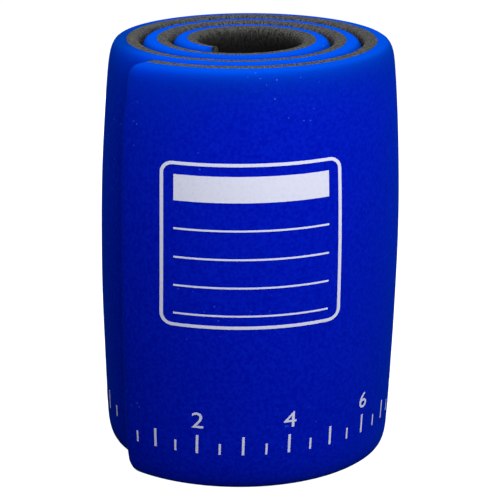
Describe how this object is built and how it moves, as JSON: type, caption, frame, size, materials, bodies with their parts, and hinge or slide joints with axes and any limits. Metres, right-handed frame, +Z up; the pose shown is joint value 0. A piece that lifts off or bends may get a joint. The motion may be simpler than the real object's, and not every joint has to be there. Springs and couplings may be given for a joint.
{
  "type": "aluminium foam splint",
  "caption": "Rolled padded splint strip, blue foam outside and grey foam inside, wound into a spiral and standing on its edge; unrolled and bent, it supports an injured limb.",
  "frame": {"origin": "under the middle of the roll's box, on the surface that it stands on", "axes": "+Z up along the winding axis, and -Y towards the front of the roll, with its outer end at the front left"},
  "size_m": [0.078, 0.0812, 0.108],
  "materials": {
    "blue_foam": "matte closed-cell foam",
    "grey_foam": "matte closed-cell foam",
    "white_ink": "matte print on foam"
  },
  "bodies": {
    "root": {"outer_foam": "blue_foam", "inner_foam": "grey_foam"}
  },
  "joints": []
}
